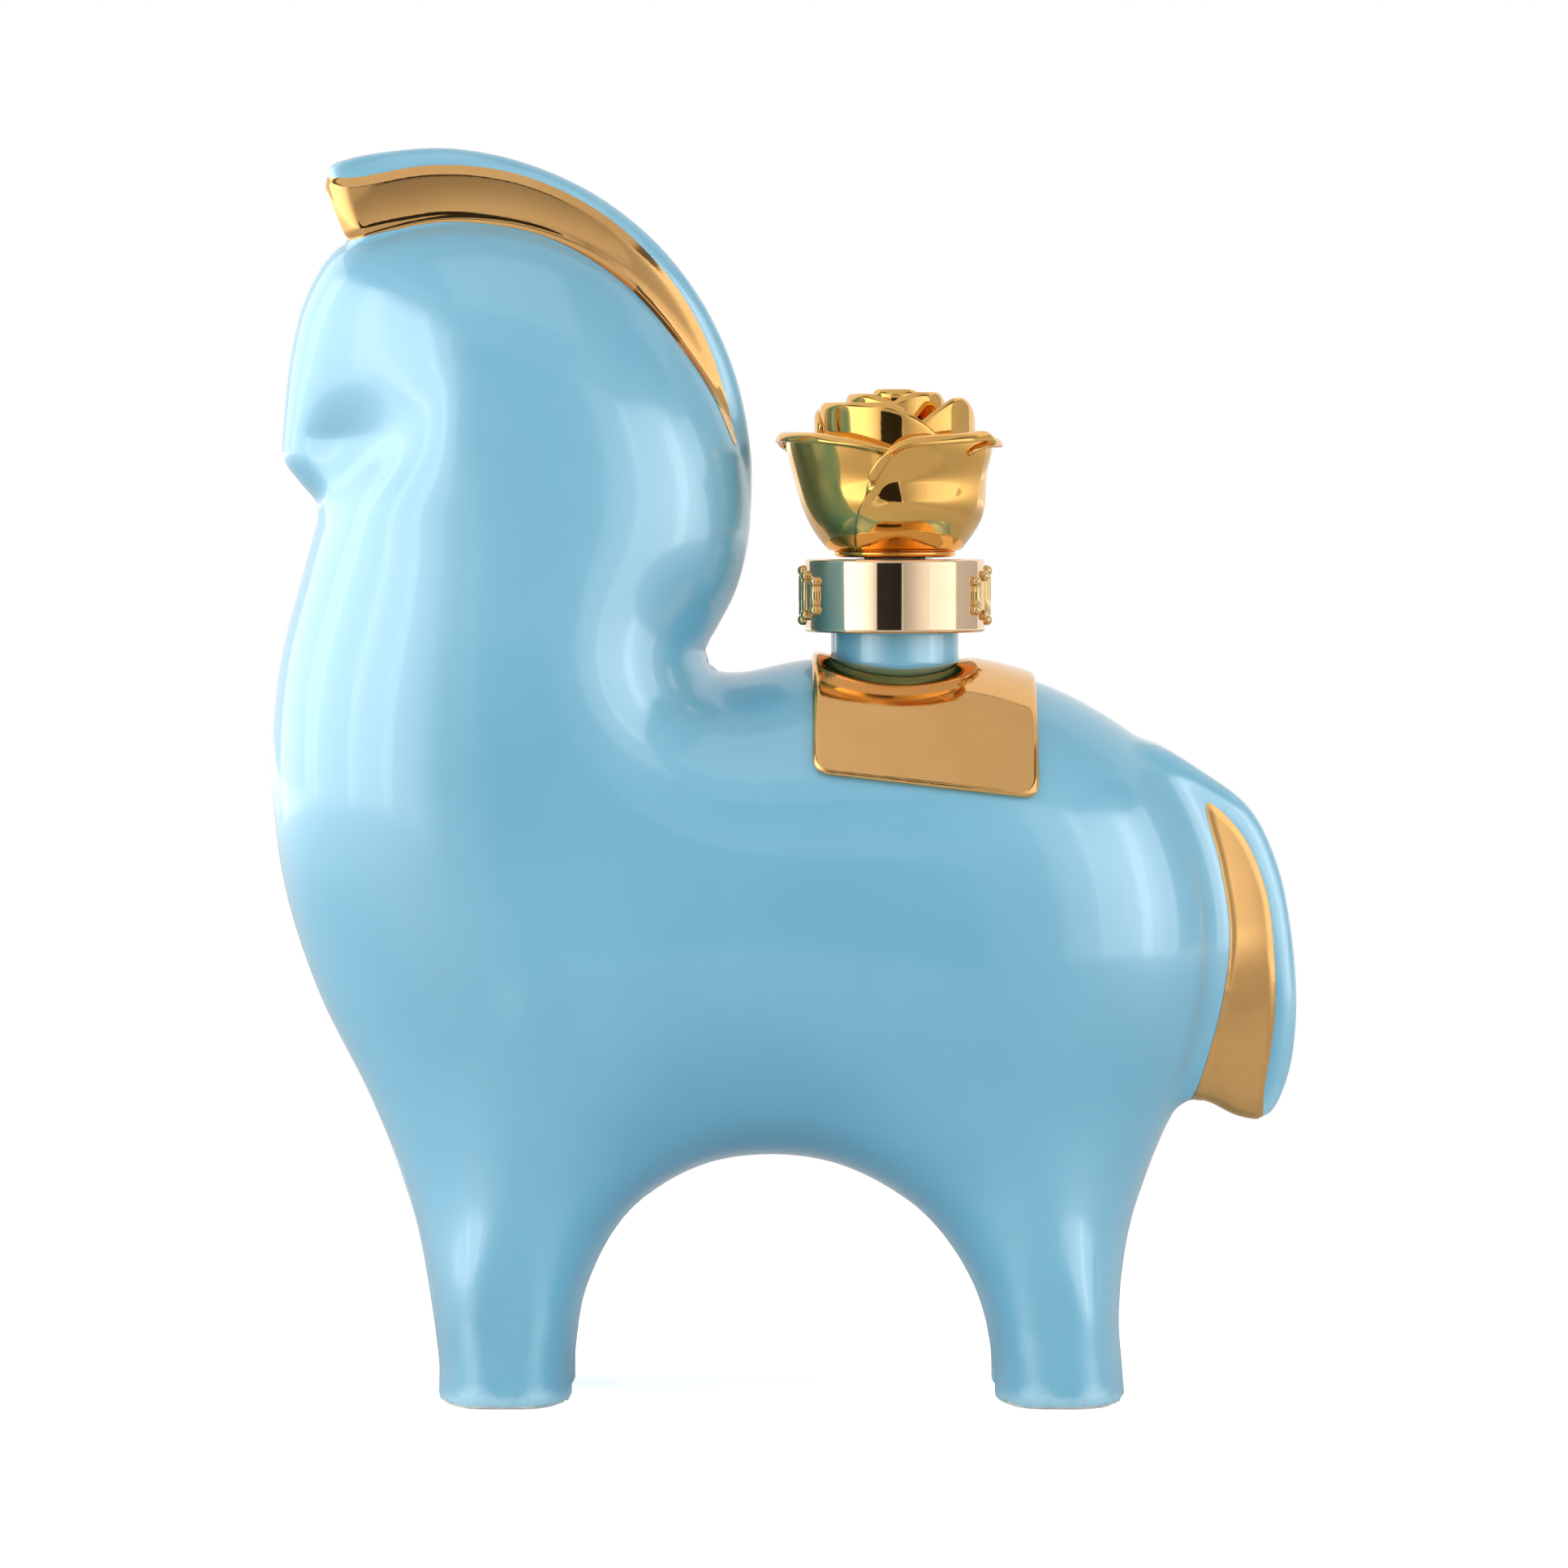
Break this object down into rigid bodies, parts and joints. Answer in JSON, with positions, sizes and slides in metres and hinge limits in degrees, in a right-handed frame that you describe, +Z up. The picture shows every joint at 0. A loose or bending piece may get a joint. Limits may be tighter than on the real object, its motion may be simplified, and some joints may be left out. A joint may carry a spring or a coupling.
{
  "type": "ceramic spirit bottle",
  "caption": "Hollow glazed ceramic spirit bottle in the shape of a standing horse, gilded on mane, saddle and tail, with a lined mouth, a gold collar and a rose-headed stopper.",
  "frame": {"origin": "on the floor under the middle of the bottle's box", "axes": "+Z up, the horse's head towards -X and its tail towards +X, +Y towards its right side"},
  "size_m": [0.1766, 0.0698, 0.2148],
  "materials": {
    "blue_glaze": "sky blue gloss glaze",
    "fired_gold": "bright gold lustre fired over the glaze",
    "collar_gold": "polished champagne gold plating",
    "rose_gold": "polished yellow gold plating",
    "liner_plastic": "natural moulded plastic",
    "plug_plastic": "satin moulded plastic",
    "silicone": "translucent silicone"
  },
  "bodies": {
    "bottle": {"bottle_shell": "blue_glaze", "mane_gilding": "fired_gold", "saddle_gilding": "fired_gold", "tail_gilding": "fired_gold", "bottle_neck": "blue_glaze", "mouth_liner": "liner_plastic", "neck_collar": "collar_gold", "collar_ornament_front": "collar_gold", "collar_ornament_rear": "collar_gold"},
    "seals": {"seal_ring_upper": "silicone", "seal_ring_middle": "silicone", "seal_ring_lower": "silicone"},
    "stopper": {"plug_core": "plug_plastic", "rose_cup": "rose_gold", "rose_bud": "rose_gold"}
  },
  "joints": [
    {"name": "stopper_pull", "type": "slide", "parent": "bottle", "child": "seals", "axis": [0, 0, 1], "range_m": [0, 0.045]},
    {"name": "stopper_twist", "type": "hinge", "parent": "seals", "child": "stopper", "pos_m": [0.0191, 0, 0.13], "axis": [0, 0, 1], "continuous": true}
  ]
}
